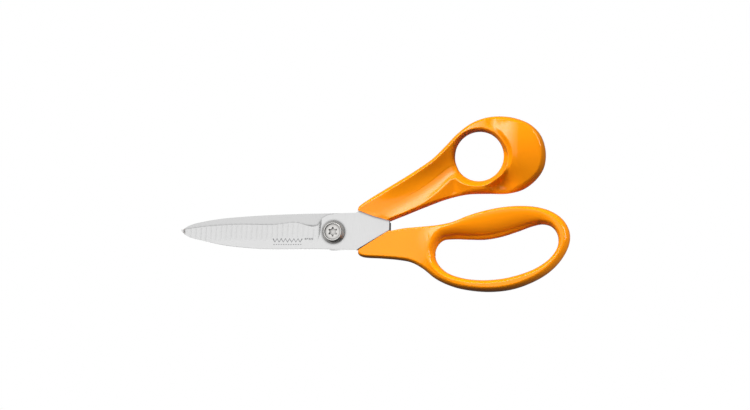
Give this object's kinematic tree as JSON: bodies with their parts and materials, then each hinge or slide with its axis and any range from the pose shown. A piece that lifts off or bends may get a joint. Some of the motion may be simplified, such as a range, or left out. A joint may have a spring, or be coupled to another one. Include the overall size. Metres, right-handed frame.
{
  "type": "pinking shears",
  "caption": "Pinking shears with meshing zigzag-toothed blades, a screw pivot, a thumb handle with a round hole and a finger handle with a long hole.",
  "frame": {"origin": "on the pivot axis, at the flat outer face of the pivot nut and the screw's end, which the shears rest on together with the handles' backs", "axes": "+X from the pivot towards the handles, +Y towards the thumb handle, +Z along the pivot axis out of the front face"},
  "size_m": [0.2304, 0.1028, 0.0155],
  "materials": {
    "blade_steel": "satin, finely ground",
    "pivot_steel": "turned, satin",
    "handle_plastic": "glossy orange",
    "washer_plastic": "matt, natural"
  },
  "bodies": {
    "finger_half": {"rear_blade": "blade_steel", "finger_handle": "handle_plastic", "pivot_screw": "pivot_steel", "pivot_bush": "pivot_steel", "pivot_nut": "pivot_steel", "spring_washer": "pivot_steel", "slip_washer": "washer_plastic"},
    "thumb_half": {"front_blade": "blade_steel", "thumb_handle": "handle_plastic"}
  },
  "joints": [
    {"name": "blade_pivot", "type": "hinge", "parent": "finger_half", "child": "thumb_half", "pos_m": [0, 0, 0.006], "axis": [0, 0, 1], "range_deg": [0, 80]}
  ]
}
